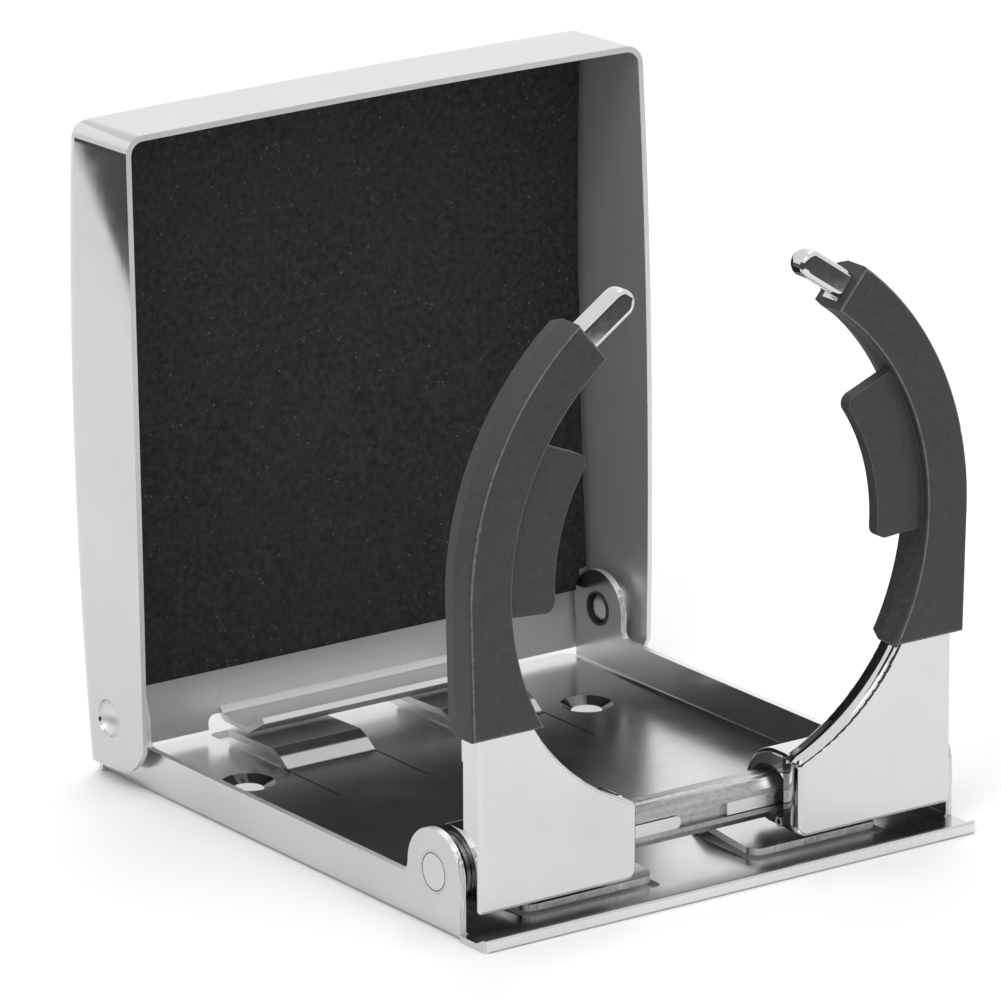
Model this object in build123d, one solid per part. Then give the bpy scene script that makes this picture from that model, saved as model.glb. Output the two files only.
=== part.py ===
from build123d import *
import math
import os

# Folding screw-on drink holder in pressed stainless steel, all sizes in millimetres.
# Frame: the origin lies on the base plate's underside, on its middle line and 0.65 behind the
# middle of its length. +X runs along the hinge lines, +Y towards the cover pivots and +Z up.
# The cover stands open and the arms stand upright.

# ---------------------------------------------------------------- driving dimensions
SHEET = 1.2                # thickness of the base sheet
BASE_W = 101.6             # outside width of the base over its side flanges
BASE_FRONT = -58.75        # front edge of the base plate
BASE_REAR = 57.45          # its rear edge, under the cover's panel
FLANGE_H = 8.0             # height of the base's side flanges
BEND_R = 1.8               # outside radius of the base's flange bends
PLAN_R = 1.2               # corner radius of the plate's front, seen from above
REAR_PLAN_R = 3.0          # and of its rear
LIP_H = 2.1                # height of the coined bead along the front edge
LIP_L = 2.6                # depth of that bead
LIP_EDGE = 0.3             # bevel of its edges

SHAFT_Y = -44.2            # axis of the arm shaft
SHAFT_Z = 10.1
SHAFT_R = 3.6              # turned ends of the shaft
BAR_HALF = 3.5             # half the width of the square middle of the shaft
BAR_CHAMFER = 1.4
BAR_X = 47.6               # the square middle runs to this distance each side
GROOVE_H = 2.5             # groove in the front face of the bar
GROOVE_D = 0.9
FRONT_EAR_R = 7.4
WASHER_X = (48.75, 49.5)   # washer between each arm and the base's ear
WASHER_R = 6.0
LEFT_STRIP = (-41.5, -3.2) # where the friction strips lie along the groove
RIGHT_STRIP = (6.4, 41.5)
STRIP_GAP = 0.15           # between a strip and each side of the groove
RUN_CLEAR = 0.05           # radial clearance of a running fit

PIVOT_Y = 48.0             # axis of the cover pivots
PIVOT_Z = 11.9
REAR_EAR_R = 7.0
EAR_RELIEF = 0.6           # the rear ears are cut back by this below their rounding
BUSH_R = 3.1               # outside radius of a pivot bush
BUSH_WALL = 0.4
BUSH_FLANGE_R = 4.9
BUSH_FLANGE_T = 0.3
FLANGE_GAP = 0.1           # play on each side of the bush's flange

LEAN = 1.7                 # backward lean of the open cover, degrees
COVER_SHEET = 1.0          # thickness of the cover sheet
COVER_W = 107.9            # outside width of the cover at its widest
COVER_TOP = 104.0          # top of the cover above its pivot, along the cover
COVER_BOTTOM = -8.8
COVER_BACK = 8.2           # outside of the back panel behind the pivot, at its ends
CROWN = 1.85               # how far the middle of the panel bows backwards
SIDE_CROWN = 0.5           # how far each side bows outwards
TOP_CROWN = 0.4
FRONT_EDGE = (-10.2, -11.45, -10.75)   # free edge of the side flanges: bottom, middle, top
COVER_R = 3.5              # radius of the drawn edges around the panel
COVER_CORNER_R = 3.4       # radius of the two top corners between the flanges
HEEL_R = 9.0               # rounded lower front corner of the side flanges
TOE_R = 3.0                # rounded lower rear corner of the side flanges
HEEL_DROP = 0.15           # the rounding meets the flange's lower edge at a slight angle
NOTCH_W = 57.0             # opening in the panel's lower edge around the tongue
NOTCH_H = 2.6
DIMPLE_R = 3.3             # opening and depth of the pressed dimples at the pivots
DIMPLE_D = 2.0
STAND_OFF_R = 4.6          # land around each dimple that runs on the bush's flange
PAD_T = 3.0                # foam pad
PAD_W = 102.8
TAPE_T = 0.25              # adhesive layer behind the pad
PAD_BOTTOM = 2.4           # lower edge of the pad above the pivot

HOLE_PITCH = 71.4          # mounting screw holes
HOLE_Y = 32.2
HOLE_R = 2.75
SINK_R = 4.7
SINK_LAND = 0.1            # straight wall left under the countersink

COVER_LEAF = (8.6, 26.8)   # leaf springs under the cover's tongue, across the base
COVER_LEAF_GAP = 0.3       # gap around each leaf
COVER_LEAF_ROOT = PIVOT_Y - 15.1
COVER_WINDOW_L = 24.4      # length of the window around each leaf
SLIT_L = 15.4              # slits that run on from the window's corners
SLIT_W = 0.4
ARM_LEAF = (10.0, 36.7)    # and those under the arms' feet
ARM_LEAF_GAP = 0.5
ARM_LEAF_ROOT = SHAFT_Y + 12.0
ARM_WINDOW_L = 19.2
WINDOW_R = 1.6             # corners of the windows

ARM_FRONT = -53.95         # front face of the arms
ARM_T = 4.9                # thickness of the arm plate
ARM_BOTTOM = 4.57
ARM_OUT = 48.5             # outer side face of an arm, from the middle
ARM_IN = 16.8              # inner end of an arm's foot, from the middle
SLEEVE_FRONT = -1.1        # rubber stands this far in front of the arm's front face
SLEEVE_T = 8.15
SLEEVE_Z = 34.8            # lower end of the rubber sleeve
FIN_OFFSET = 1.65          # fin's front face behind the sleeve's front face
FIN_T = 2.3
ROOF = (-46.3, 10.4, 7.8)  # hooded knuckle over the shaft: centre y, z and radius outside
ROOF_BORE = (-45.4, 9.5, 5.9)
ROOF_Z = 12.6              # lower rear edge of the knuckle
ROOF_LIP = 1.4             # the knuckle is this much shallower at the foot's rear face
CORE_BACK = 1.1            # front of the core behind the foot's front face
FINGER_R = 2.4             # half the width of the arm's bare end
FINGER_EDGES = (1.0, 1.8)  # its front and rear rounding
ARC_EDGE = 0.7             # front rounding of the foot's concave top and inner end
SIDE_EDGE = 0.45           # rounding of the foot's outer upright edges
CREST_EDGE = 0.8           # rounding of the knuckle's inner end
SLEEVE_BEVEL = (0.75, 3.1) # rear bevel of the sleeve: depth and width
SLEEVE_EDGE = 0.7          # rounding of its front edges
SLEEVE_FOOT_X = 50.3       # outer side of the sleeve at its lower end
HUB_SWEEP = 5.6            # nothing behind the shaft reaches further below its axis

INNER = COVER_W / 2 - COVER_SHEET   # inside face of the cover's side flanges
EAR_IN = BASE_W / 2 - SHEET         # inside face of the base's ears


# ---------------------------------------------------------------- small helpers
def yz_solid(face, x0, x1):
    """Extrude a face drawn in (y, z) from x0 to x1."""
    return extrude(Plane.YZ.offset(x0) * face, x1 - x0)


def xz_solid(face, y0, y1):
    """Extrude a face drawn in (x, z) from y0 to y1."""
    front = Plane(origin=(0, y0, 0), x_dir=(1, 0, 0), z_dir=(0, -1, 0))
    return extrude(front * face, -(y1 - y0))


def xy_solid(face, z0, z1):
    """Extrude a face drawn in (x, y) from z0 to z1."""
    return extrude(Plane.XY.offset(z0) * face, z1 - z0)


def box(x0, x1, y0, y1, z0, z1):
    """Axis-aligned block between two corners."""
    return Pos((x0 + x1) / 2, (y0 + y1) / 2, (z0 + z1) / 2) * Box(x1 - x0, y1 - y0, z1 - z0)


def rod(x0, x1, y, z, radius):
    """Cylinder along X."""
    return Pos((x0 + x1) / 2, y, z) * Rot(0, 90, 0) * Cylinder(radius, x1 - x0)


def outline(*points):
    """Closed face through straight points."""
    return make_face(Polyline(*points, close=True))


def rounded(face, corners):
    """Round the corners of a face that lie at the given points."""
    for (a, b, radius) in corners:
        vertex = face.vertices().sort_by_distance((a, b, 0))[0]
        face = fillet(vertex, radius)
    return face


def mirrored(solid):
    """The same piece on the other side of the middle plane."""
    return mirror(solid, about=Plane.YZ)


def save(name, solid, colour):
    """Write one node to its own STEP file."""
    solid.label = name
    solid.color = Color(*colour)
    export_step(solid, "parts/" + name + ".step")


# ---------------------------------------------------------------- base plate
def leaf_profile(root, crest, tip, crest_z, tip_z):
    """Side view of a lanced leaf: it climbs from its root, arches and runs to its tip."""
    step = 1 if tip > root else -1
    rise = abs(crest - root)
    top = [(root, SHEET), (root + step * rise * 0.55, crest_z - 0.9), (crest, crest_z), (tip, tip_z)]
    under = [(tip, tip_z - SHEET), (crest, crest_z - SHEET),
             (root + step * (rise * 0.55 + 0.6), crest_z - 0.9 - SHEET), (root + step * 1.2, 0)]
    face = outline((root - step * 1.0, 0), (root - step * 1.0, SHEET), *top, *under)
    bends = [(root, SHEET, 1.6), (*top[1], 2.2), (*top[2], 1.8)]
    bends += [(*under[1], 1.0), (*under[2], 1.0), (*under[3], 1.0)]
    return rounded(face, bends)


def cover_leaf(x0, x1):
    """Leaf spring under the cover's tongue."""
    root = COVER_LEAF_ROOT
    tip = PIVOT_Y + 4.3
    leaf = yz_solid(leaf_profile(root, root + 5.0, tip, 4.0, 3.5), x0, x1)
    return fillet(leaf.edges().filter_by(Axis.Z).group_by(Axis.Y)[-1], 1.2)


def arm_leaf(x0, x1):
    """Leaf spring under an arm's foot, with its free edge to the front."""
    root = ARM_LEAF_ROOT
    tip = SHAFT_Y - 5.8
    leaf = yz_solid(leaf_profile(root, root - 5.2, tip, 3.9, 2.75), x0, x1)
    return fillet(leaf.edges().filter_by(Axis.Z).group_by(Axis.Y)[0], 2.4)


def ear(y, z, radius, relief):
    """Side view of one ear standing on the flange."""
    return Pos(y, z) * Circle(radius) + Pos(y - relief / 2, z / 2) * Rectangle(2 * radius - relief, z)


def plan():
    """Outline of the plate from above."""
    middle = (BASE_FRONT + BASE_REAR) / 2
    sheet = Pos(0, middle) * Rectangle(BASE_W, BASE_REAR - BASE_FRONT)
    sheet = fillet(sheet.vertices().group_by(Axis.Y)[0], PLAN_R)
    return fillet(sheet.vertices().group_by(Axis.Y)[-1], REAR_PLAN_R)


def base_plate():
    half = BASE_W / 2
    flange_y0 = SHAFT_Y - FRONT_EAR_R
    flange_y1 = PIVOT_Y + REAR_EAR_R - EAR_RELIEF

    # channel section with bent side flanges
    length = flange_y1 - flange_y0
    middle = (flange_y0 + flange_y1) / 2
    tall = PIVOT_Z + REAR_EAR_R
    channel = Pos(0, middle, tall / 2) * Box(BASE_W, length + 2 * EAR_RELIEF, tall)
    channel = fillet(channel.edges().filter_by(Axis.Y).group_by(Axis.Z)[0], BEND_R)
    hollow = Pos(0, middle, SHEET + tall / 2) * Box(2 * EAR_IN, length + 2, tall)
    hollow = fillet(hollow.edges().filter_by(Axis.Y).group_by(Axis.Z)[0], BEND_R - SHEET)
    channel = channel - hollow

    # flange outline with the two ears
    side = Pos(middle, FLANGE_H / 2) * Rectangle(length, FLANGE_H)
    side = side + ear(SHAFT_Y, SHAFT_Z, FRONT_EAR_R, 0)
    side = side + ear(PIVOT_Y, PIVOT_Z, REAR_EAR_R, EAR_RELIEF)
    front_dip = math.sqrt(FRONT_EAR_R ** 2 - (SHAFT_Z - FLANGE_H) ** 2)
    side = rounded(side, [(SHAFT_Y + front_dip, FLANGE_H, 2.0), (PIVOT_Y - REAR_EAR_R, FLANGE_H, 1.6)])
    channel = channel & yz_solid(side, -half - 1, half + 1)

    # flat ends of the plate beyond the flanges
    flat = xy_solid(plan(), 0, SHEET)
    ends = flat - box(-half - 1, half + 1, flange_y0, flange_y1, -1, SHEET + 1)
    front = BASE_FRONT
    bead = outline((front, LIP_EDGE), (front, LIP_H - LIP_EDGE), (front + LIP_EDGE, LIP_H),
                   (front + 3 * LIP_EDGE, LIP_H), (front + 5 * LIP_EDGE, LIP_H - 0.35),
                   (front + LIP_L, SHEET), (front + LIP_L, 0), (front + LIP_EDGE, 0))
    bead = yz_solid(bead, -half, half) & xy_solid(plan(), 0, LIP_H)
    ends -= box(-half, half, front - 1, front + LIP_EDGE + 0.05, -1, SHEET + 1)
    plate = channel + ends + bead

    # screw holes with pressed countersinks
    for side_x in (-1, 1):
        at = Pos(side_x * HOLE_PITCH / 2, HOLE_Y, 0)
        plate -= at * Cylinder(HOLE_R, 6)
        cone_h = SHEET - SINK_LAND
        plate -= at * Pos(0, 0, SINK_LAND + cone_h / 2) * Cone(HOLE_R, SINK_R, cone_h)

    # windows, slits and leaf springs
    for side_x in (-1, 1):
        def span(pair, grow=0.0):
            a, b = pair[0] - grow, pair[1] + grow
            return (a, b) if side_x > 0 else (-b, -a)

        x0, x1 = span(COVER_LEAF, COVER_LEAF_GAP)
        middle = COVER_LEAF_ROOT + COVER_WINDOW_L / 2
        window = Pos((x0 + x1) / 2, middle) * Rectangle(x1 - x0, COVER_WINDOW_L)
        window = fillet(window.vertices().group_by(Axis.Y)[-1], WINDOW_R)
        plate -= xy_solid(window, -1, SHEET + 1)
        for edge_x in (x0, x1):
            slit_x = edge_x + math.copysign(SLIT_W / 2, (x0 + x1) / 2 - edge_x)
            slit_y = COVER_LEAF_ROOT - SLIT_L
            plate -= box(slit_x - SLIT_W / 2, slit_x + SLIT_W / 2, slit_y, COVER_LEAF_ROOT + 0.5,
                         -1, SHEET + 1)
        plate += cover_leaf(*span(COVER_LEAF))

        x0, x1 = span(ARM_LEAF, ARM_LEAF_GAP)
        middle = ARM_LEAF_ROOT - ARM_WINDOW_L / 2
        window = Pos((x0 + x1) / 2, middle) * Rectangle(x1 - x0, ARM_WINDOW_L)
        window = fillet(window.vertices().group_by(Axis.Y)[0], WINDOW_R)
        plate -= xy_solid(window, -1, SHEET + 1)
        plate += arm_leaf(*span(ARM_LEAF))

    # holes of the ears
    plate -= rod(-half - 1, half + 1, SHAFT_Y, SHAFT_Z, SHAFT_R + RUN_CLEAR)
    plate -= rod(-half - 1, half + 1, PIVOT_Y, PIVOT_Z, BUSH_R + RUN_CLEAR)
    return plate


# ---------------------------------------------------------------- cover
def cover_frame(solid):
    """Move a piece drawn about the pivot, with the cover upright, to the leaning cover."""
    return Pos(0, PIVOT_Y, PIVOT_Z) * Rot(-LEAN, 0, 0) * solid


def panel_line(inset, bottom, top):
    """Bowed back line of the cover, moved forwards by inset."""
    mid_h = (COVER_TOP + COVER_BOTTOM) / 2
    half_h = (COVER_TOP - COVER_BOTTOM) / 2

    def back(h):
        return COVER_BACK + CROWN * (1 - ((h - mid_h) / half_h) ** 2) - inset
    middle = (bottom + top) / 2
    return ThreePointArc((back(bottom), bottom), (back(middle), middle), (back(top), top))


def cover_outline(inset, bottom):
    """Front view of the cover: bowed sides and top, with rounded top corners."""
    half = COVER_W / 2 - inset
    narrow = half - SIDE_CROWN
    top = COVER_TOP - inset
    corner = top - TOP_CROWN
    middle = (bottom + top) / 2
    right = ThreePointArc((narrow, bottom), (half, middle), (narrow, corner))
    over = ThreePointArc((narrow, corner), (0, top), (-narrow, corner))
    left = ThreePointArc((-narrow, corner), (-half, middle), (-narrow, bottom))
    face = make_face([right, over, left, Line((-narrow, bottom), (narrow, bottom))])
    return fillet(face.vertices().group_by(Axis.Y)[-1], COVER_CORNER_R - inset)


def cover_block(inset, forward, bottom):
    """Solid with the cover's outside, or its inside when inset is the sheet thickness."""
    top = COVER_TOP + 2
    back = panel_line(inset, bottom, top)
    low, mid, high = FRONT_EDGE
    edge = ThreePointArc((high - forward, top), (mid - forward, top / 2), (low - forward, bottom))
    side = make_face([back, Line(back @ 1, edge @ 0), edge, Line(edge @ 1, back @ 0)])
    block = yz_solid(side, -COVER_W, COVER_W) & xz_solid(cover_outline(inset, bottom), -40, 20)
    panel = block.faces().sort_by(Axis.Y)[-1]
    rear = panel.edges().filter_by(lambda edge: edge.center().Z > bottom + 1)
    return fillet(rear, COVER_R - inset)


def tongue():
    """Lip bent forward from the panel's lower edge, riding on the leaf springs."""
    outer = COVER_BACK + 0.3
    inner = outer - COVER_SHEET
    face = outline((outer, -2.5), (outer, -5.2), (outer - 1.8, -7.3), (-1.2, -7.85),
                   (-6.4, -4.9), (-5.8, -4.05), (-1.2, -6.75), (inner - 1.3, -6.25), (inner, -4.9),
                   (inner, -2.5))
    face = rounded(face, [(outer, -5.2, 1.5), (outer - 1.8, -7.3, 2.0), (-1.2, -7.85, 1.5),
                          (-1.2, -6.75, 0.6), (inner - 1.3, -6.25, 1.0)])
    return yz_solid(face, -26.0, 26.0)


def pivot_dimple():
    """Stand-off and boss of the right-hand pivot, and the recess pressed in from outside."""
    start = BASE_W / 2 + BUSH_FLANGE_T + 2 * FLANGE_GAP
    stand_off = rod(start, INNER + 0.2, 0, 0, STAND_OFF_R)
    stand_off = fillet(stand_off.edges().group_by(Axis.X)[0], 0.8)
    boss = rod(EAR_IN + 0.2, INNER, 0, 0, BUSH_R - BUSH_WALL - RUN_CLEAR)
    boss = fillet(boss.edges().group_by(Axis.X)[0], 1.5)
    ball = (DIMPLE_R ** 2 + DIMPLE_D ** 2) / (2 * DIMPLE_D)
    face_x = COVER_W / 2 - SIDE_CROWN * 0.7
    recess = Pos(face_x - DIMPLE_D + ball, 0, 0) * Sphere(ball)
    return stand_off + boss, recess


def cover_shell():
    shell = cover_block(0, 0, COVER_BOTTOM) - cover_block(COVER_SHEET, 10, COVER_BOTTOM - 8)

    # rounded heels of the side flanges
    low = FRONT_EDGE[0] - 1
    heel = Pos(low + HEEL_R / 2, COVER_BOTTOM + HEEL_R / 2) * Rectangle(HEEL_R, HEEL_R)
    heel -= Pos(low + HEEL_R, COVER_BOTTOM + HEEL_R - HEEL_DROP) * Circle(HEEL_R)
    shell -= yz_solid(heel, -COVER_W, COVER_W)

    # and their rounded lower corners behind
    high = COVER_BACK + 0.5
    toe = Pos(high - TOE_R / 2, COVER_BOTTOM + TOE_R / 2) * Rectangle(TOE_R, TOE_R)
    toe -= Pos(high - TOE_R, COVER_BOTTOM + TOE_R - HEEL_DROP) * Circle(TOE_R)
    toe = yz_solid(toe, COVER_W / 2 - COVER_R, COVER_W)
    shell = shell - toe - mirrored(toe)

    # relief notches and the bent tongue between them
    notch = Pos(0, COVER_BOTTOM) * Rectangle(NOTCH_W, 2 * NOTCH_H)
    notch = fillet(notch.vertices().group_by(Axis.Y)[-1], 1.4)
    shell -= xz_solid(notch, 4, 20)
    shell += tongue()

    # dimples that turn in the pivot bushes
    boss, recess = pivot_dimple()
    shell = shell + boss + mirrored(boss) - recess - mirrored(recess)
    return cover_frame(shell)


def pad_layer(front_inset, back_inset):
    """Part of the cover's inside between two distances in front of the panel's outside."""
    top = COVER_TOP - COVER_SHEET - TOP_CROWN - 0.3
    back = panel_line(back_inset, PAD_BOTTOM, top)
    front = panel_line(front_inset, PAD_BOTTOM, top)
    face = make_face([back, Line(back @ 1, front @ 1), front, Line(front @ 0, back @ 0)])
    half = PAD_W / 2
    block = yz_solid(face, -half, half) & cover_block(COVER_SHEET, 10, COVER_BOTTOM - 8)

    # the lower corners are cut back to pass the ears of the base
    for side_x in (-1, 1):
        block -= Pos(side_x * half, 0, 0) * Rot(0, 90, 0) * Cylinder(REAR_EAR_R + 0.5, 4.5)
    return cover_frame(block)


# ---------------------------------------------------------------- pivot bushes and shaft
def pivot_bush():
    """Thin flanged bush in the right-hand ear; the flange keeps cover and base apart."""
    outer = BASE_W / 2
    bush = rod(EAR_IN - 0.2, outer + 0.02, PIVOT_Y, PIVOT_Z, BUSH_R)
    start = outer + FLANGE_GAP
    bush += rod(start, start + BUSH_FLANGE_T, PIVOT_Y, PIVOT_Z, BUSH_FLANGE_R)
    bush += rod(outer, start + BUSH_FLANGE_T, PIVOT_Y, PIVOT_Z, BUSH_R)
    return bush - rod(EAR_IN - 1, outer + 1, PIVOT_Y, PIVOT_Z, BUSH_R - BUSH_WALL)


def square_bar(half, chamfer_size, x0, x1):
    """Square bar about the shaft axis with chamfered corners."""
    section = Pos(SHAFT_Y, SHAFT_Z) * chamfer(Rectangle(2 * half, 2 * half).vertices(), chamfer_size)
    return yz_solid(section, x0, x1)


def arm_shaft():
    shaft = square_bar(BAR_HALF, BAR_CHAMFER, -BAR_X, BAR_X)
    shaft += rod(-BASE_W / 2, BASE_W / 2, SHAFT_Y, SHAFT_Z, SHAFT_R)
    face_y = SHAFT_Y - BAR_HALF
    shaft -= box(-42, 42, face_y - 1, face_y + GROOVE_D, SHAFT_Z - GROOVE_H / 2, SHAFT_Z + GROOVE_H / 2)
    return shaft


def friction_strip(x0, x1, z_shift, end_radius):
    """Flat strip lying in the groove of the bar."""
    height = GROOVE_H - 2 * STRIP_GAP
    face = Pos((x0 + x1) / 2, SHAFT_Z + z_shift) * Rectangle(x1 - x0, height)
    if end_radius:
        ends = face.vertices().group_by(Axis.X)[-1]
        face = fillet(ends, end_radius)
    y0 = SHAFT_Y - BAR_HALF
    return xz_solid(face, y0, y0 + GROOVE_D)


def shaft_washer():
    x0, x1 = WASHER_X
    ring = rod(x0, x1, SHAFT_Y, SHAFT_Z, WASHER_R)
    return ring - rod(x0 - 1, x1 + 1, SHAFT_Y, SHAFT_Z, SHAFT_R)


# ---------------------------------------------------------------- arms
def disc(x, z, radius):
    return Pos(x, z) * Circle(radius)


def above(z):
    return Pos(0, z + 100) * Rectangle(300, 200)


def ring_band(inner, outer, foot_x, z0):
    """Band between two arcs, with a straight outer side below the ring's middle."""
    x, z, radius = outer
    band = disc(*outer) + outline((0, z), (x + radius, z), (foot_x, z0), (0, z0))
    band = band - disc(*inner)
    right = Pos(150, 0) * Rectangle(300, 600)
    return band & right & above(z0)


# centre and radius of the arcs seen from the front, for the right-hand arm
SLEEVE_INNER = (-2.83, 58.07, 45.25)
SLEEVE_OUTER = (-4.1, 57.75, 55.0)
CORE_INNER = (-2.83, 58.07, 46.8)
CORE_OUTER = (-4.1, 57.75, 52.85)
FIN_INNER = (-1.5, 57.5, 34.5)
FOOT_ARC = (2.33, 56.47, 41.26)
FINGER_ROOT = (25.3, 99.05)
FINGER_TIP = (19.3, 103.1)
SLEEVE_END = ((22.9, 94.3), (29.1, 101.7))      # inner and outer corner of the sleeve's upper end


def sleeve_cut():
    """Everything beyond the sleeve's upper end."""
    (xa, za), (xb, zb) = SLEEVE_END
    dx, dz = xb - xa, zb - za
    return outline((xa - 3 * dx, za - 3 * dz), (xb + 3 * dx, zb + 3 * dz), (-40, 160), (-40, 60))


def arm_foot():
    """Front view of the foot: a block with a concave inner top."""
    foot = Pos((ARM_IN + ARM_OUT) / 2, (ARM_BOTTOM + 60) / 2) * Rectangle(ARM_OUT - ARM_IN, 60 - ARM_BOTTOM)
    foot = foot - disc(*FOOT_ARC)
    foot = foot & (Pos(0, 19.9) * Rectangle(200, 39.8))
    arc_x, arc_z, arc_r = FOOT_ARC
    top = arc_z - math.sqrt(arc_r ** 2 - (ARM_IN - arc_x) ** 2)
    return rounded(foot, [(ARM_IN, ARM_BOTTOM, 1.8), (ARM_OUT, ARM_BOTTOM, 0.8), (ARM_IN, top, 1.6)])


def finger():
    """Front view of the bare end of the arm beyond the sleeve."""
    base = Vector(*FINGER_ROOT)
    tip = Vector(*FINGER_TIP)
    along = (tip - base).normalized()
    side = Vector(-along.Y, along.X) * FINGER_R
    start = base - along * 6
    bar = outline(start + side, tip + side, tip - side, start - side)
    return bar + disc(tip.X, tip.Y, FINGER_R)


def arc_edges(solid, y, x_limit):
    """Edges of the foot's concave top and inner end that lie in the plane at y."""
    found = []
    for edge in solid.edges():
        box_of = edge.bounding_box()
        flat = abs(box_of.min.Y - y) < 0.01 and abs(box_of.max.Y - y) < 0.01
        middle = edge.center()
        if flat and middle.X < x_limit and middle.Z > ARM_BOTTOM + 0.5:
            found.append(edge)
    return found


def arm():
    """Right-hand arm: foot, knuckle, core inside the sleeve and bare finger."""
    rear = ARM_FRONT + ARM_T
    foot = xz_solid(arm_foot(), ARM_FRONT, rear)
    core_face = ring_band(CORE_INNER, CORE_OUTER, ARM_OUT, 30.0) - sleeve_cut()
    core = xz_solid(core_face, ARM_FRONT + CORE_BACK, rear)
    foot = fillet(arc_edges(foot, ARM_FRONT, ARM_OUT - 4), ARC_EDGE)
    outer = foot.edges().filter_by(Axis.Z).sort_by(Axis.X)[-2:]
    foot = fillet(outer, SIDE_EDGE)
    tip = xz_solid(finger(), ARM_FRONT + 0.2, rear)
    tip = fillet(tip.edges().group_by(Axis.Y)[0], FINGER_EDGES[0])
    tip = fillet(tip.edges().group_by(Axis.Y)[-1], FINGER_EDGES[1])

    # hooded knuckle behind the foot
    roof_y, roof_z, roof_r = ROOF
    bore_y, bore_z, bore_r = ROOF_BORE
    top = roof_z + roof_r
    hood = disc(*ROOF) + outline((rear - 1, roof_z), (rear - 1, top), (roof_y, top), (roof_y, roof_z))
    lip = bore_z + bore_r - ROOF_LIP
    hood = hood - disc(*ROOF_BORE) - outline((rear, 0), (rear, lip), (bore_y, bore_z), (bore_y, 0))
    keep = outline((rear - 1, ROOF_Z), (rear - 1, 30), (0, 30), (0, ROOF_Z))
    hood = yz_solid(hood & keep, ARM_IN, ARM_OUT)
    crest = hood.edges().group_by(Axis.X)[0].filter_by(lambda e: e.center().Z > bore_z + bore_r + 0.5)
    hood = fillet(crest, CREST_EDGE)
    return foot + core + tip + hood


def slide_bush():
    """Plastic bush in the knuckle, with a square bore that slides on the bar."""
    y0 = ARM_FRONT + ARM_T
    bore_y, bore_z, bore_r = ROOF_BORE
    body = disc(bore_y, bore_z, bore_r - 0.02)
    body = body + outline((y0, ARM_BOTTOM), (SHAFT_Y, ARM_BOTTOM), (SHAFT_Y, SHAFT_Z), (y0, SHAFT_Z))
    keep = outline((y0, ARM_BOTTOM), (y0, 40), (0, 40), (0, ARM_BOTTOM))
    sweep = disc(SHAFT_Y, SHAFT_Z, HUB_SWEEP) + Pos(SHAFT_Y - 20, SHAFT_Z) * Rectangle(40, 40)
    sweep = sweep + Pos(SHAFT_Y, SHAFT_Z + 20) * Rectangle(40, 40)
    body = body & keep & sweep
    x0, x1 = ARM_IN + 1.6, ARM_OUT - 1.5
    bush = yz_solid(body, x0, x1)
    bush -= square_bar(BAR_HALF + 0.1, BAR_CHAMFER, x0 - 1, x1 + 1)
    return bush - roll_pin_space(x0 - 1, x1 + 1)


PIN_Y = SHAFT_Y - 2.9
PIN_Z = SHAFT_Z - 4.6
PIN_R = 0.9


def roll_pin_space(x0, x1):
    return rod(x0, x1, PIN_Y, PIN_Z, PIN_R)


def roll_pin():
    """Split tube pin that keeps the bush in the knuckle."""
    x0, x1 = ARM_IN + 0.8, ARM_OUT - 1.5
    pin = rod(x0, x1, PIN_Y, PIN_Z, PIN_R) - rod(x0 - 1, x1 + 1, PIN_Y, PIN_Z, PIN_R - 0.4)
    return pin - box(x0 - 1, x1 + 1, PIN_Y - 0.15, PIN_Y + 0.15, PIN_Z, PIN_Z + 2)


def grip(metal):
    """Rubber sleeve over the upper arm with an inward fin."""
    y0 = ARM_FRONT + SLEEVE_FRONT
    face = ring_band(SLEEVE_INNER, SLEEVE_OUTER, SLEEVE_FOOT_X, SLEEVE_Z) - sleeve_cut()
    sleeve = xz_solid(face, y0, y0 + SLEEVE_T)
    rear = sleeve.faces().sort_by(Axis.Y)[-1]
    sleeve = chamfer(rear.edges(), *SLEEVE_BEVEL, reference=rear)
    sleeve = fillet(sleeve.edges().group_by(Axis.Y)[0], SLEEVE_EDGE)

    inner_x, inner_z, inner_r = SLEEVE_INNER
    within = disc(inner_x, inner_z, inner_r + 1.4)
    wedge = outline((21.0, 76.7), (43.0, 85.4), (46.0, 54.5), (28.0, 53.2))
    fin = xz_solid((within & wedge) - disc(*FIN_INNER), y0 + FIN_OFFSET, y0 + FIN_OFFSET + FIN_T)
    upright = fin.edges().filter_by(Axis.Y).sort_by(Axis.X)[:2]
    fin = fillet(upright, 1.8)
    return sleeve + fin - metal


# ---------------------------------------------------------------- write the nodes
STEEL = (0.80, 0.80, 0.82)
SATIN = (0.66, 0.66, 0.68)
RUBBER = (0.10, 0.10, 0.11)
PLASTIC = (0.05, 0.05, 0.06)


def main():
    os.makedirs("parts", exist_ok=True)
    save("base_plate", base_plate(), STEEL)
    save("cover_shell", cover_shell(), STEEL)
    panel_inset = COVER_SHEET + TAPE_T
    save("pad_adhesive", pad_layer(panel_inset, 0), PLASTIC)
    save("foam_pad", pad_layer(panel_inset + PAD_T, panel_inset), RUBBER)
    save("arm_shaft", arm_shaft(), SATIN)

    metal = arm()
    right = {
        "pivot_bush": (pivot_bush(), PLASTIC),
        "shaft_washer": (shaft_washer(), SATIN),
        "arm": (metal, STEEL),
        "grip": (grip(metal), RUBBER),
        "slide_bush": (slide_bush(), PLASTIC),
        "roll_pin": (roll_pin(), SATIN),
    }
    for name, (solid, colour) in right.items():
        save("right_" + name, solid, colour)
        save("left_" + name, mirrored(solid), colour)
    save("left_friction_strip", friction_strip(*LEFT_STRIP, -0.1, 1.05), SATIN)
    save("right_friction_strip", friction_strip(*RIGHT_STRIP, 0.1, 0), SATIN)


main()
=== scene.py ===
import math

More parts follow.
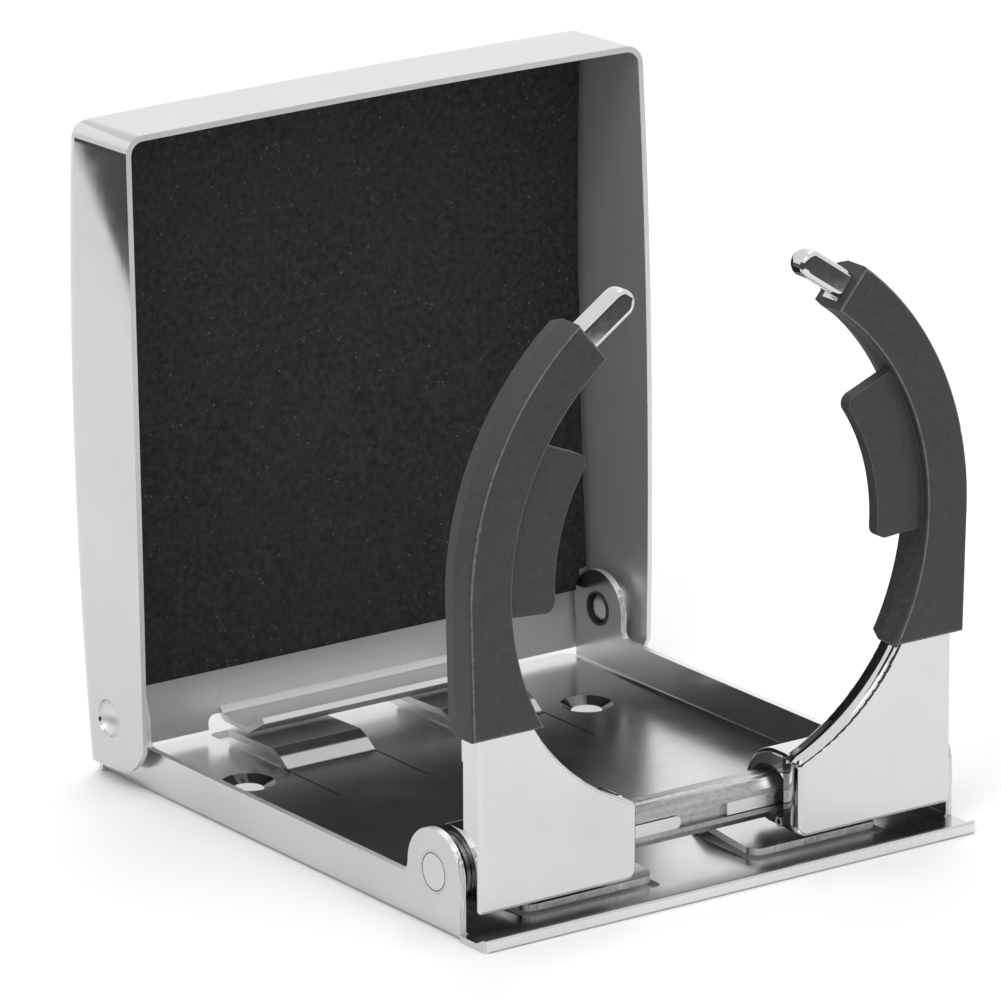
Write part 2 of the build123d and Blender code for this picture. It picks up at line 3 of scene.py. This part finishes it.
import bpy
from mathutils import Matrix, Vector, noise


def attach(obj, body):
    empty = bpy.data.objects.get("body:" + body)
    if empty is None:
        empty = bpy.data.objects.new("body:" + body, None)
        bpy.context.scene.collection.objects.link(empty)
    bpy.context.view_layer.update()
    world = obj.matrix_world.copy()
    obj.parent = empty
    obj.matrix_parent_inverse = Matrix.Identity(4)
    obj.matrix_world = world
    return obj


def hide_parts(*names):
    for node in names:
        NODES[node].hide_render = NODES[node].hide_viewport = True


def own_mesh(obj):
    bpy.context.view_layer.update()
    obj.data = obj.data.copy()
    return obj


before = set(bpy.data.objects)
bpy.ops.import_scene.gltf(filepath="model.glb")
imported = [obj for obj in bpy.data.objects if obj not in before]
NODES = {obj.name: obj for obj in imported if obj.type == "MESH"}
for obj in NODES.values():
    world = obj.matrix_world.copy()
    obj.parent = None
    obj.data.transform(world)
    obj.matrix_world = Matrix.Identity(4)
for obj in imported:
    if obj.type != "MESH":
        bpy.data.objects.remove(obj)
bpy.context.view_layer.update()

SIDES = ("left", "right")

# Lengths are in metres, in the CAD frame unless a comment says otherwise.

# arm shaft: where its polished ends begin, its axis in y and z, and the groove turned in each end, whose
# shade is painted as a dark ring
SHAFT_END = 0.0496
SHAFT_AXIS = (-0.0442, 0.0101)
RING_R = (0.0031, 0.0033)

# an arm's foot: middle and half of its thickness, its outer side, its top, and the edge's crown
FOOT_MID_Y = -0.0515
FOOT_HALF_T = 0.00245
FOOT_SIDE_X = 0.0465
FOOT_TOP_Z = 0.045
FOOT_CROWN = 0.0007

# cover: its pivot and lean, then its panel's bottom, top and bow as distances from the pivot
PIVOT = Vector((0, 0.048, 0.0119))
COVER_LEAN = math.radians(1.7)
COVER_TOP = 0.104
COVER_BOTTOM = -0.0088
COVER_BACK = 0.0082
PANEL_BOW = 0.00185

# cover: limits of its inner side, and the plane its free edges lie in front of
INSIDE_X = 0.0532
INSIDE_Y = 0.0556
INSIDE_Z = 0.1149
RIM_Y = 0.048

# base: its two countersinks, and the space that the leaf springs stay inside
HOLE_X = 0.0357
HOLE_Y = 0.0322
SINK_R = 0.0048
LEAF_TOP = 0.0045
LEAF_REACH = 0.053
SHEET_TOP = 0.00125

# foam pad, from the cover's pivot: its edges, corners, thickness, and lower corner notches
PAD_LOW = 0.0024
PAD_HIGH = 0.1022
PAD_HALF = 0.0512
PAD_CORNER = 0.0024
PAD_BACK_INSET = 0.00125
PAD_THICK = 0.003
PAD_EDGE_R = 0.0007
PAD_EDGE_STEPS = (0.0, 0.00008, 0.0002, 0.0004, 0.0007)
PAD_CELLS = 120
PAD_WAVE = 0.00010
PAD_WAVE_SCALE = 40
NOTCH_X = 0.0025
NOTCH_H = 0.0064
NOTCH_STEP = 0.0004

# studio: the floor, and where the white table ends in the holder's reflections
FLOOR_HALF = 4.0
CARD_Z = 0.0012
CARD_FAR = 3
TABLE_LEFT = -0.167
TABLE_LEFT_BEND = 0.19
TABLE_LEFT_FAR = -1.697
TABLE_FRONT = -0.32
WALL = 2.2
LEFT_WALL_TOP = 0.9
FRONT_WALL_TOP = 1.1

# ---------------------------------------------------------------- camera
VIEW_TARGET = Vector((-0.00357, 0.00292, 0.05297))
VIEW_DISTANCE = 1.5627
VIEW_AZIMUTH = math.radians(-35.511)
VIEW_ELEVATION = math.radians(17.296)
VIEW_ROLL = math.radians(-0.162)
LENS = 333.8
SENSOR = 36.0


def make_camera():
    """Long lens, looking down on the holder from its front left."""
    data = bpy.data.cameras.new("camera")
    data.lens = LENS
    data.sensor_width = SENSOR
    data.clip_start = 0.05
    data.clip_end = 20.0
    camera = bpy.data.objects.new("camera", data)
    bpy.context.scene.collection.objects.link(camera)
    away = Vector((math.sin(VIEW_AZIMUTH) * math.cos(VIEW_ELEVATION),
                   -math.cos(VIEW_AZIMUTH) * math.cos(VIEW_ELEVATION),
                   math.sin(VIEW_ELEVATION)))
    turn = away.to_track_quat("Z", "Y").to_matrix() @ Matrix.Rotation(VIEW_ROLL, 3, "Z")
    camera.matrix_world = Matrix.Translation(VIEW_TARGET + away * VIEW_DISTANCE) @ turn.to_4x4()
    bpy.context.scene.camera = camera


# ---------------------------------------------------------------- studio
def link_object(name, mesh):
    piece = bpy.data.objects.new(name, mesh)
    bpy.context.scene.collection.objects.link(piece)
    return piece


def flat_material(name, tone, rough=0.9):
    """Plain matte material for the floor and the studio's cards."""
    material = bpy.data.materials.new(name)
    material.use_nodes = True
    shader = material.node_tree.nodes["Principled BSDF"]
    shader.inputs["Base Color"].default_value = (tone, tone, tone, 1)
    shader.inputs["Roughness"].default_value = rough
    shader.inputs["Specular IOR Level"].default_value = 0.1
    return material


def card(name, corners, material):
    """Flat four-cornered card that only reflections see."""
    mesh = bpy.data.meshes.new(name)
    mesh.from_pydata(corners, [], [(0, 1, 2, 3)])
    mesh.materials.append(material)
    piece = link_object(name, mesh)
    piece.visible_camera = False
    piece.visible_shadow = False
    piece.visible_diffuse = False


def area_light(name, place, aim, size, power, height=None):
    """Soft box at a place, turned towards a point."""
    data = bpy.data.lights.new(name, "AREA")
    data.energy = power
    data.shape = "RECTANGLE"
    data.size = size
    data.size_y = height or size
    light = bpy.data.objects.new(name, data)
    bpy.context.scene.collection.objects.link(light)
    place = Vector(place)
    turn = (place - Vector(aim)).to_track_quat("Z", "Y").to_matrix().to_4x4()
    light.matrix_world = Matrix.Translation(place) @ turn
    light.visible_camera = False


def make_floor():
    """Plain pale floor under the holder."""
    half = FLOOR_HALF
    mesh = bpy.data.meshes.new("floor")
    corners = [(-half, -half, 0), (half, -half, 0), (half, half, 0), (-half, half, 0)]
    mesh.from_pydata(corners, [], [(0, 1, 2, 3)])
    floor = link_object("floor", mesh)
    mesh.materials.append(flat_material("floor", 0.93))


def make_world():
    """Even white surroundings."""
    world = bpy.data.worlds.new("studio")
    bpy.context.scene.world = world
    world.use_nodes = True
    sky = world.node_tree.nodes["Background"]
    sky.inputs["Color"].default_value = (1.0, 1.0, 1.0, 1)
    sky.inputs["Strength"].default_value = 1.0


def make_cards():
    """Dark surroundings past the white table, at its left and in front."""
    dark = flat_material("dark_card", 0.07)
    far, up = CARD_FAR, CARD_Z
    card("dark_floor_left", [(-far, -1, up), (TABLE_LEFT, -1, up), (TABLE_LEFT, TABLE_LEFT_BEND, up),
                             (TABLE_LEFT_FAR, far, up)], dark)
    card("dark_floor_front", [(-far, -far, up), (far, -far, up), (far, TABLE_FRONT, up),
                              (-far, TABLE_FRONT, up)], dark)
    card("dark_wall_left", [(-WALL, -WALL, 0), (-WALL, WALL, 0), (-WALL, WALL, LEFT_WALL_TOP),
                            (-WALL, -WALL, LEFT_WALL_TOP)], dark)
    card("dark_wall_front", [(-WALL, -WALL, 0), (WALL, -WALL, 0), (WALL, -WALL, FRONT_WALL_TOP),
                             (-WALL, -WALL, FRONT_WALL_TOP)], dark)


def make_studio():
    make_floor()
    make_world()
    make_cards()
    area_light("key", (-0.8, -0.5, 1.2), (0, 0, 0.04), 0.5, 4.0)
    area_light("top", (0.5, 0.6, 1.3), (0, 0, 0), 0.6, 3.0)
    area_light("back", (0.9, 1.3, 0.5), (0, 0, 0.05), 1.0, 0.34, 0.7)
    view = bpy.context.scene.view_settings
    view.view_transform = "Standard"
    view.look = "None"
    view.exposure = 0.0
    view.gamma = 1.0


# ---------------------------------------------------------------- material helpers
class Maker:
    """Builds one node material, keeping the links short."""

    def __init__(self, name):
        self.material = bpy.data.materials.new(name)
        self.material.use_nodes = True
        self.tree = self.material.node_tree
        self.shader = self.tree.nodes["Principled BSDF"]
        self.place = self.node("ShaderNodeTexCoord").outputs["Object"]

    def node(self, kind, **inputs):
        node = self.tree.nodes.new(kind)
        for name, value in inputs.items():
            self.feed(node.inputs[name.replace("_", " ")], value)
        return node

    def feed(self, socket, value):
        """Link a socket or set a constant."""
        if isinstance(value, bpy.types.NodeSocket):
            self.tree.links.new(value, socket)
        else:
            socket.default_value = value

    def constant(self, **values):
        """Constants straight on the shader's sockets."""
        for name, value in values.items():
            self.shader.inputs[name.replace("_", " ")].default_value = value

    def stretched(self, x, y, z):
        """Object coordinates scaled along each axis, for grain."""
        node = self.node("ShaderNodeMapping", Vector=self.place)
        node.inputs["Scale"].default_value = (x, y, z)
        return node.outputs[0]

    def parts(self):
        """Object coordinates, one by one."""
        return self.node("ShaderNodeSeparateXYZ", Vector=self.place).outputs

    def facing(self):
        """The surface's normal in object space, one component by one."""
        normal = self.node("ShaderNodeTexCoord").outputs["Normal"]
        return self.node("ShaderNodeSeparateXYZ", Vector=normal).outputs

    def noise(self, scale, detail=3.0, rough=0.5, where=None, twist=0.0):
        node = self.node("ShaderNodeTexNoise", Vector=where or self.place, Scale=scale,
                         Detail=detail, Roughness=rough, Distortion=twist)
        return node.outputs["Fac"]

    def cells(self, scale, where=None, feature="F1"):
        node = self.node("ShaderNodeTexVoronoi", Vector=where or self.place, Scale=scale)
        node.feature = feature
        return node.outputs["Distance"]

    def spread(self, value, low, high, from_low=0.0, from_high=1.0):
        """Map a value from one range to another."""
        node = self.node("ShaderNodeMapRange")
        self.feed(node.inputs["Value"], value)
        node.inputs["From Min"].default_value = from_low
        node.inputs["From Max"].default_value = from_high
        node.inputs["To Min"].default_value = low
        node.inputs["To Max"].default_value = high
        return node.outputs["Result"]

    def math(self, kind, a, b=0.0, c=0.0):
        node = self.tree.nodes.new("ShaderNodeMath")
        node.operation = kind
        self.feed(node.inputs[0], a)
        self.feed(node.inputs[1], b)
        self.feed(node.inputs[2], c)
        return node.outputs[0]

    def mix(self, factor, a, b):
        node = self.tree.nodes.new("ShaderNodeMix")
        node.data_type = "RGBA"
        self.feed(node.inputs[0], factor)
        self.feed(node.inputs[6], a)
        self.feed(node.inputs[7], b)
        return node.outputs[2]

    def bump(self, height, strength, depth, normal=None):
        node = self.node("ShaderNodeBump", Strength=strength, Distance=depth)
        self.feed(node.inputs["Height"], height)
        if normal is not None:
            self.feed(node.inputs["Normal"], normal)
        return node.outputs[0]

    def highlight_edges(self, radius):
        """1 near sharp convex edges, 0 on flats."""
        bevel = self.node("ShaderNodeBevel", Radius=radius)
        flat = self.node("ShaderNodeNewGeometry").outputs["Normal"]
        dot = self.tree.nodes.new("ShaderNodeVectorMath")
        dot.operation = "DOT_PRODUCT"
        self.feed(dot.inputs[0], bevel.outputs[0])
        self.feed(dot.inputs[1], flat)
        return self.spread(dot.outputs["Value"], 1.0, 0.0, 0.8, 1.0)


def rgb(value, tint=(1.0, 1.0, 1.0)):
    return tuple(value * t for t in tint) + (1.0,)


# ---------------------------------------------------------------- materials
def inner_side(m):
    """1 on the inner side of the cover's flanges and panel, 0 on its outer skin."""
    x, y, z = m.parts()
    within = m.math("LESS_THAN", m.math("ABSOLUTE", x), INSIDE_X)
    below = m.math("LESS_THAN", z, INSIDE_Z)
    slope = m.math("MULTIPLY", z, -math.tan(COVER_LEAN))
    ahead = m.math("LESS_THAN", m.math("ADD", y, slope), INSIDE_Y)
    return m.math("MULTIPLY", m.math("MULTIPLY", within, below), ahead)


def polished_steel():
    """Polished stainless sheet: bright outside, satin inside, with grainy cut edges."""
    m = Maker("polished_stainless")
    inside = inner_side(m)
    _, facing, _ = m.facing()
    _, depth, _ = m.parts()
    cut = m.math("MULTIPLY", m.math("LESS_THAN", facing, -0.8), m.math("LESS_THAN", depth, RIM_Y))
    soft = m.math("MAXIMUM", inside, cut)
    tone = m.spread(m.noise(60.0), 0.0, 1.0, 0.3, 0.7)
    skin = m.mix(inside, m.mix(tone, rgb(0.545), rgb(0.575)), rgb(0.70))
    m.feed(m.shader.inputs["Base Color"], m.mix(cut, skin, rgb(0.76)))
    cloud = m.noise(150.0, 3.0)
    polish = m.spread(cloud, 0.03, 0.05, 0.35, 0.7)
    satin = m.spread(cloud, 0.38, 0.44, 0.35, 0.7)
    step = m.math("SUBTRACT", satin, polish)
    m.feed(m.shader.inputs["Roughness"], m.math("MULTIPLY_ADD", step, soft, polish))
    m.feed(m.shader.inputs["Metallic"], m.math("MULTIPLY_ADD", soft, -0.25, 1.0))
    wave = m.bump(m.noise(18.0, 1.0), 0.08, 0.0004)
    hair = m.noise(1500.0, 2.0, 0.6, m.stretched(1.0, 1.0, 0.03))
    fine = m.bump(hair, 0.02, 0.00002, wave)
    grain = m.math("MULTIPLY", m.noise(2600.0, 3.0, 0.6), cut)
    m.feed(m.shader.inputs["Normal"], m.bump(grain, 0.6, 0.0001, fine))
    return m.material


def hole_mask(m):
    """1 inside the two countersinks of the base."""
    x, y, _ = m.parts()
    dx = m.math("SUBTRACT", m.math("ABSOLUTE", x), HOLE_X)
    dy = m.math("SUBTRACT", y, HOLE_Y)
    square = m.math("ADD", m.math("MULTIPLY", dx, dx), m.math("MULTIPLY", dy, dy))
    return m.math("LESS_THAN", square, SINK_R ** 2)


def cut_edges(m):
    """1 on the base's sheared edges: its ends, the leaves' tips and the rims of the ears."""
    across, along, _ = m.facing()
    _, _, height = m.parts()
    ends = m.math("GREATER_THAN", m.math("ABSOLUTE", along), 0.75)
    rim = m.math("LESS_THAN", m.math("ABSOLUTE", across), 0.5)
    rim = m.math("MULTIPLY", rim, m.math("GREATER_THAN", height, LEAF_TOP))
    return m.math("MAXIMUM", ends, rim)


def torn_edges(m):
    """1 on the tips of the leaf springs, where the sheet tore as it was lanced."""
    _, along, _ = m.facing()
    _, depth, height = m.parts()
    tip = m.math("GREATER_THAN", m.math("ABSOLUTE", along), 0.75)
    inboard = m.math("LESS_THAN", m.math("ABSOLUTE", depth), LEAF_REACH)
    raised = m.math("GREATER_THAN", height, SHEET_TOP)
    return m.math("MULTIPLY", tip, m.math("MULTIPLY", inboard, raised))


def satin_steel():
    """Rolled stainless sheet of the base, with mill haze, fine scratches and grainy cut edges."""
    m = Maker("satin_stainless")
    sink = hole_mask(m)
    cut = m.math("MULTIPLY", cut_edges(m), m.math("SUBTRACT", 1.0, sink))
    tone = m.spread(m.noise(50.0, 4.0), 0.0, 1.0, 0.3, 0.7)
    skin = m.mix(tone, rgb(0.57), rgb(0.62))
    m.feed(m.shader.inputs["Base Color"], m.mix(cut, skin, rgb(0.76)))
    m.feed(m.shader.inputs["Metallic"], m.math("MULTIPLY_ADD", cut, -0.25, 1.0))
    haze = m.spread(m.noise(120.0, 4.0, 0.6), 0.20, 0.26, 0.3, 0.7)
    rough = m.math("MULTIPLY_ADD", sink, -0.15, haze)
    m.feed(m.shader.inputs["Roughness"], m.math("MULTIPLY_ADD", cut, 0.2, rough))
    wave = m.bump(m.noise(14.0, 1.0), 0.06, 0.0004)
    line = m.spread(m.cells(40.0, m.stretched(1.0, 0.10, 1.0), "DISTANCE_TO_EDGE"), 1.0, 0.0, 0.0, 0.004)
    patchy = m.math("MULTIPLY", line, m.spread(m.noise(35.0, 2.0), 0.0, 1.0, 0.60, 0.64))
    scratched = m.bump(patchy, 0.12, 0.00002, wave)
    grain = m.math("MULTIPLY", m.noise(2600.0, 3.0, 0.6), cut)
    tooth = m.math("MULTIPLY", m.noise(1700.0, 1.0, 0.5, m.stretched(1.0, 1.0, 0.25)), torn_edges(m))
    torn = m.bump(tooth, 1.0, 0.0006, scratched)
    m.feed(m.shader.inputs["Normal"], m.bump(grain, 0.6, 0.0001, torn))
    return m.material


def foot_crown(m):
    """Soft crown across the thickness of an arm's foot, on its inner edge."""
    x, y, z = m.parts()
    step = m.math("DIVIDE", m.math("SUBTRACT", y, FOOT_MID_Y), FOOT_HALF_T)
    crown = m.math("MAXIMUM", m.math("SUBTRACT", 1.0, m.math("MULTIPLY", step, step)), 0.0)
    crown = m.math("MULTIPLY", crown, crown)
    inner = m.math("LESS_THAN", m.math("ABSOLUTE", x), FOOT_SIDE_X)
    low = m.math("LESS_THAN", z, FOOT_TOP_Z)
    return m.math("MULTIPLY", crown, m.math("MULTIPLY", inner, low))


def chromed_casting():
    """Bright plated arms, with the soft ripple of a polished casting."""
    m = Maker("chromed_casting")
    tone = m.spread(m.noise(120.0), 0.0, 1.0, 0.3, 0.7)
    m.feed(m.shader.inputs["Base Color"], m.mix(tone, rgb(0.63), rgb(0.655)))
    m.feed(m.shader.inputs["Roughness"], m.spread(m.noise(500.0, 4.0), 0.03, 0.06, 0.3, 0.7))
    wave = m.bump(m.noise(30.0, 1.0), 0.05, 0.0003)
    m.feed(m.shader.inputs["Normal"], m.bump(foot_crown(m), 1.0, FOOT_CROWN, wave))
    m.constant(Metallic=1.0)
    return m.material


def groove_shade_ring(m, end):
    """1 on the painted shade of the fine groove turned into each end of the shaft: a near-black ring."""
    _, y, z = m.parts()
    dy = m.math("SUBTRACT", y, SHAFT_AXIS[0])
    dz = m.math("SUBTRACT", z, SHAFT_AXIS[1])
    square = m.math("ADD", m.math("MULTIPLY", dy, dy), m.math("MULTIPLY", dz, dz))
    inner, outer = RING_R
    beyond = m.math("GREATER_THAN", square, inner ** 2)
    ring = m.math("MULTIPLY", beyond, m.math("LESS_THAN", square, outer ** 2))
    return m.math("MULTIPLY", ring, end)


def plated_bar():
    """Dull plated steel with rough drawn facets."""
    m = Maker("plated_steel")
    drawn = m.noise(700.0, 4.0, 0.6, m.stretched(0.06, 1.0, 1.0))
    spots = m.noise(900.0, 3.0, 0.6)
    tone = m.math("MULTIPLY", m.spread(drawn, 0.4, 1.0, 0.3, 0.7), m.spread(spots, 0.6, 1.0, 0.35, 0.6))
    across, _, _ = m.parts()
    end = m.math("GREATER_THAN", m.math("ABSOLUTE", across), SHAFT_END)
    bar = m.mix(tone, rgb(0.20), rgb(0.58))
    polished = m.mix(end, bar, rgb(0.62))
    # painted shade: a near-black ring stands for the shade inside the groove turned into each polished end
    m.feed(m.shader.inputs["Base Color"], m.mix(groove_shade_ring(m, end), polished, rgb(0.05)))
    rough = m.spread(spots, 0.28, 0.44, 0.3, 0.7)
    m.feed(m.shader.inputs["Roughness"], m.math("MULTIPLY_ADD", end, -0.12, rough))
    relief = m.math("MULTIPLY", m.math("ADD", drawn, spots), m.math("SUBTRACT", 1.0, end))
    m.feed(m.shader.inputs["Normal"], m.bump(relief, 0.35, 0.00008))
    m.constant(Metallic=1.0)
    return m.material


def strip_steel():
    """Bright drawn spring steel."""
    m = Maker("strip_steel")
    drawn = m.noise(1500.0, 3.0, 0.6, m.stretched(0.05, 1.0, 1.0))
    m.feed(m.shader.inputs["Base Color"], m.mix(m.spread(drawn, 0.0, 1.0, 0.3, 0.7), rgb(0.60), rgb(0.70)))
    m.feed(m.shader.inputs["Roughness"], m.spread(drawn, 0.20, 0.32, 0.3, 0.7))
    m.feed(m.shader.inputs["Normal"], m.bump(drawn, 0.15, 0.00003))
    m.constant(Metallic=1.0)
    return m.material


def black_rubber():
    """Matte moulded rubber with a mottled texture, and painted highlights: thin light edges and a lighter
    band on the front-facing bend.
    """
    m = Maker("black_rubber")
    mottle = m.spread(m.noise(900.0, 5.0, 0.7), 0.0, 1.0, 0.35, 0.65)
    base = m.mix(mottle, rgb(0.022), rgb(0.040))
    _, along, _ = m.facing()
    # painted highlight: the front-facing bend and the sharp convex edges are lightened towards grey 0.16
    bend = m.math("MULTIPLY", m.math("GREATER_THAN", along, -0.9), m.math("LESS_THAN", along, -0.62))
    painted_highlight = m.math("MULTIPLY", m.highlight_edges(0.0003), 0.6)
    painted_highlight = m.math("MAXIMUM", painted_highlight, m.math("MULTIPLY", bend, m.spread(mottle, 0.35, 0.8)))
    m.feed(m.shader.inputs["Base Color"], m.mix(painted_highlight, base, rgb(0.16)))
    m.feed(m.shader.inputs["Roughness"], m.spread(mottle, 0.5, 0.66))
    m.feed(m.shader.inputs["Normal"], m.bump(mottle, 0.5, 0.00006))
    return m.material


def closed_cell_foam():
    """Black foam with fine pores and pale specks at its cut skin."""
    m = Maker("closed_cell_foam")
    pores = m.cells(2100.0)
    mottle = m.spread(m.noise(900.0, 5.0, 0.65), 0.0, 1.0, 0.35, 0.65)
    cloud = m.spread(m.noise(28.0, 3.0, 0.6), 0.0, 1.0, 0.3, 0.7)
    base = m.mix(mottle, rgb(0.005), rgb(0.028))
    base = m.mix(m.math("MULTIPLY", cloud, 0.35), base, rgb(0.026))
    seeds = m.cells(620.0)
    patch = m.spread(m.noise(210.0), 0.0, 1.0, 0.45, 0.55)
    speck = m.math("MULTIPLY", m.spread(seeds, 1.0, 0.0, 0.07, 0.16), patch)
    m.feed(m.shader.inputs["Base Color"], m.mix(m.math("MULTIPLY", speck, 0.7), base, rgb(0.12)))
    m.constant(Roughness=0.85)
    m.constant(Specular_IOR_Level=0.3)
    relief = m.math("ADD", m.spread(pores, 0.0, 1.0, 0.0, 0.5), mottle)
    m.feed(m.shader.inputs["Normal"], m.bump(relief, 0.55, 0.00008))
    return m.material


def bearing_plastic():
    """Black moulded plastic of the bushes."""
    m = Maker("bearing_plastic")
    fine = m.noise(2600.0, 3.0)
    m.feed(m.shader.inputs["Base Color"], m.mix(m.spread(fine, 0.0, 1.0, 0.3, 0.7), rgb(0.02), rgb(0.03)))
    m.feed(m.shader.inputs["Roughness"], m.spread(fine, 0.35, 0.5, 0.3, 0.7))
    m.feed(m.shader.inputs["Normal"], m.bump(fine, 0.15, 0.00004))
    return m.material


def adhesive_film():
    """Thin grey film at the back of the foam."""
    m = Maker("adhesive_film")
    fine = m.noise(900.0, 3.0)
    m.feed(m.shader.inputs["Base Color"], m.mix(fine, rgb(0.05), rgb(0.08)))
    m.constant(Roughness=0.45)
    return m.material


def paint(node, material):
    slots = NODES[node].data.materials
    slots.clear()
    slots.append(material)


# ---------------------------------------------------------------- foam pad
def panel_offset(h, inset):
    """Distance behind the pivot axis of the panel's outside at height h, moved forwards."""
    middle = (COVER_TOP + COVER_BOTTOM) / 2
    half = (COVER_TOP - COVER_BOTTOM) / 2
    return COVER_BACK + PANEL_BOW * (1 - ((h - middle) / half) ** 2) - inset


def cover_point(x, b, h):
    """Place of a point given across, behind and above the pivot, along the leaning cover."""
    y = PIVOT.y + b * math.cos(COVER_LEAN) + h * math.sin(COVER_LEAN)
    z = PIVOT.z + h * math.cos(COVER_LEAN) - b * math.sin(COVER_LEAN)
    return Vector((x, y, z))


def pad_half_width(h):
    """Half the pad's width: rounded at the top, notched for the ears at the bottom."""
    half = PAD_HALF
    over = h - (PAD_HIGH - PAD_CORNER)
    if over > 0:
        half -= PAD_CORNER - math.sqrt(max(PAD_CORNER ** 2 - over ** 2, 0.0))
    notch = min(max((NOTCH_H - h) / NOTCH_STEP, 0.0), 1.0)
    return half - NOTCH_X * notch


def steps_from_edge(low, high, count, scale=1.0):
    """Positions between two edges, closely spaced at both."""
    fine = [step * scale for step in PAD_EDGE_STEPS]
    inner_low, inner_high = low + fine[-1], high - fine[-1]
    middle = [inner_low + (inner_high - inner_low) * i / count for i in range(1, count)]
    return [low + f for f in fine] + middle + [high - f for f in reversed(fine)]


def foam_pad(material):
    """Die-cut foam pad, stuck to the panel, with softly rounded edges and faint waves."""
    rows = steps_from_edge(PAD_LOW, PAD_HIGH, PAD_CELLS)
    rows = sorted(rows + [NOTCH_H - NOTCH_STEP, NOTCH_H])
    columns = steps_from_edge(-1.0, 1.0, PAD_CELLS, 1 / PAD_HALF)
    vertices = []
    for side in ("front", "back"):
        for h in rows:
            half = pad_half_width(h)
            for share in columns:
                x = share * half
                reach = min(half - abs(x), h - PAD_LOW, PAD_HIGH - h)
                if side == "back":
                    b = panel_offset(h, PAD_BACK_INSET)
                else:
                    near = min(max(reach, 0.0), PAD_EDGE_R)
                    drop = PAD_EDGE_R - math.sqrt(PAD_EDGE_R ** 2 - (PAD_EDGE_R - near) ** 2)
                    spot = Vector((x * PAD_WAVE_SCALE, h * PAD_WAVE_SCALE, 0.3))
                    dip = PAD_WAVE * (noise.noise(spot) + 1) / 2
                    b = panel_offset(h, PAD_BACK_INSET + PAD_THICK) + drop * 0.8 + dip
                vertices.append(cover_point(x, b, h))
    wide = len(columns)
    tall = len(rows)
    back = wide * tall
    faces = []
    for r in range(tall - 1):
        for c in range(wide - 1):
            a = r * wide + c
            faces.append((a, a + 1, a + wide + 1, a + wide))
            faces.append((back + a, back + a + wide, back + a + wide + 1, back + a + 1))
    for c in range(wide - 1):
        top = (tall - 1) * wide + c
        faces.append((c + 1, c, back + c, back + c + 1))
        faces.append((top, top + 1, back + top + 1, back + top))
    for r in range(tall - 1):
        a = r * wide
        z = a + wide - 1
        faces.append((a, a + wide, back + a + wide, back + a))
        faces.append((z + wide, z, back + z, back + z + wide))
    mesh = bpy.data.meshes.new("foam_sheet")
    mesh.from_pydata([tuple(v) for v in vertices], [], faces)
    mesh.update()
    mesh.shade_smooth()
    mesh.materials.append(material)
    pad = link_object("foam_sheet", mesh)
    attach(pad, "cover")
    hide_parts("foam_pad")
    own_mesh(pad)


def paint_all():
    steel = polished_steel()
    bar = plated_bar()
    strip = strip_steel()
    plastic = bearing_plastic()
    rubber = black_rubber()
    chrome = chromed_casting()
    paint("cover_shell", steel)
    paint("base_plate", satin_steel())
    paint("arm_shaft", bar)
    paint("pad_adhesive", adhesive_film())
    foam_pad(closed_cell_foam())
    for side in SIDES:
        paint(side + "_arm", chrome)
        paint(side + "_grip", rubber)
        paint(side + "_slide_bush", plastic)
        paint(side + "_pivot_bush", plastic)
        paint(side + "_roll_pin", strip)
        paint(side + "_friction_strip", strip)
        paint(side + "_shaft_washer", bar)


make_camera()
make_studio()
paint_all()
